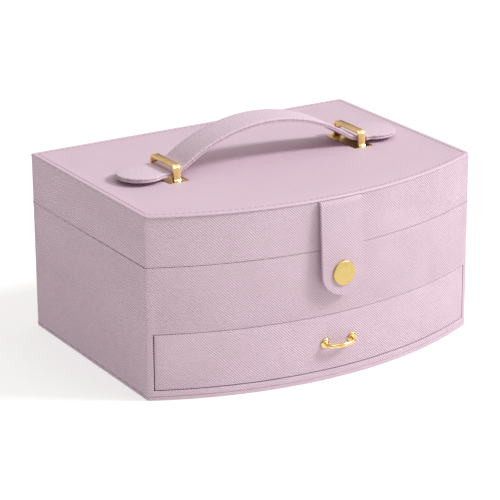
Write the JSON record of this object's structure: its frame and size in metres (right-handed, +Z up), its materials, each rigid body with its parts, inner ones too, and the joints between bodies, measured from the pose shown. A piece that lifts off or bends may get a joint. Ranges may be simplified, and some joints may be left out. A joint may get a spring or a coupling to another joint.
{
  "type": "jewellery chest",
  "caption": "Bow-front leather-covered jewellery chest with a snap-flap lid over a divided tray, a drawer below and a carrying strap on top.",
  "frame": {"origin": "centre of the base board's underside, midway between the front of the bow and the back face", "axes": "+Z up, the bowed front faces -Y, +X to the right as seen from the front"},
  "size_m": [0.2612, 0.2051, 0.16],
  "materials": {
    "leather_pink": "cross-hatched grain, satin",
    "leather_strap": "cross-hatched grain, satin",
    "board": "plain fibreboard",
    "velvet": "short pile",
    "brass_polished": "polished, lacquered",
    "brass_satin": "satin",
    "steel": "zinc-plated",
    "mirror_glass": "silvered glass"
  },
  "bodies": {
    "case": {"base_board": "leather_pink", "case_floor": "board", "case_left_board": "board", "case_right_board": "board", "case_back_board": "board", "case_front_board": "board", "case_shelf": "board", "case_wrap": "leather_pink", "tray_floor": "velvet", "tray_liner": "velvet", "tray_divider_long": "velvet", "tray_divider_rings": "velvet", "tray_divider_back": "velvet", "tray_dividers_front": "velvet", "ring_roll_1": "velvet", "ring_roll_2": "velvet", "ring_roll_3": "velvet", "ring_roll_4": "velvet", "ring_roll_5": "velvet", "ring_roll_6": "velvet", "hinge_case_leaves": "brass_polished", "hinge_pins": "brass_polished", "hinge_case_screws": "brass_polished", "snap_stud": "brass_satin"},
    "lid": {"lid_front_board": "board", "lid_left_board": "board", "lid_right_board": "board", "lid_back_board": "board", "lid_ceiling_board": "board", "lid_panel_board": "board", "lid_top_cover": "leather_pink", "lid_wrap": "leather_pink", "lid_lining": "velvet", "lid_mirror": "mirror_glass", "hinge_lid_leaves": "brass_polished", "hinge_lid_screws": "brass_polished", "handle_plate_left": "brass_polished", "handle_plate_right": "brass_polished", "handle_loop_left": "brass_polished", "handle_loop_right": "brass_polished", "handle_backings": "steel", "handle_strap": "leather_strap", "flap_root": "leather_strap"},
    "tab_left": {"handle_tab_left": "leather_strap"},
    "tab_right": {"handle_tab_right": "leather_strap"},
    "flap": {"flap_strap": "leather_strap", "snap_cap": "brass_satin", "snap_socket": "brass_satin"},
    "drawer": {"drawer_front_board": "board", "drawer_front_wrap": "leather_pink", "drawer_left_side": "board", "drawer_right_side": "board", "drawer_back": "board", "drawer_bottom": "board", "drawer_lining": "velvet", "drawer_divider_long": "velvet", "drawer_dividers_cross": "velvet", "drawer_pull": "brass_polished", "pull_nuts": "steel"}
  },
  "joints": [
    {"name": "lid_hinge", "type": "hinge", "parent": "case", "child": "lid", "pos_m": [0, 0.09775, 0.0937], "axis": [-1, 0, 0], "range_deg": [0, 100]},
    {"name": "drawer_slide", "type": "slide", "parent": "case", "child": "drawer", "axis": [0, -1, 0], "range_m": [0, 0.13]},
    {"name": "flap_hinge", "type": "hinge", "parent": "lid", "child": "flap", "pos_m": [0, -0.0986, 0.1268], "axis": [-1, 0, 0], "range_deg": [0, 110]},
    {"name": "tab_left_slide", "type": "slide", "parent": "lid", "child": "tab_left", "axis": [-1, 0, 0], "range_m": [0, 0.0047], "stiffness_N_per_m": 200, "deforming": ["handle_strap"]},
    {"name": "tab_right_slide", "type": "slide", "parent": "lid", "child": "tab_right", "axis": [1, 0, 0], "range_m": [0, 0.0047]}
  ],
  "couplings": [
    {"joint": "tab_right_slide", "follows": "tab_left_slide", "ratio": 1}
  ]
}
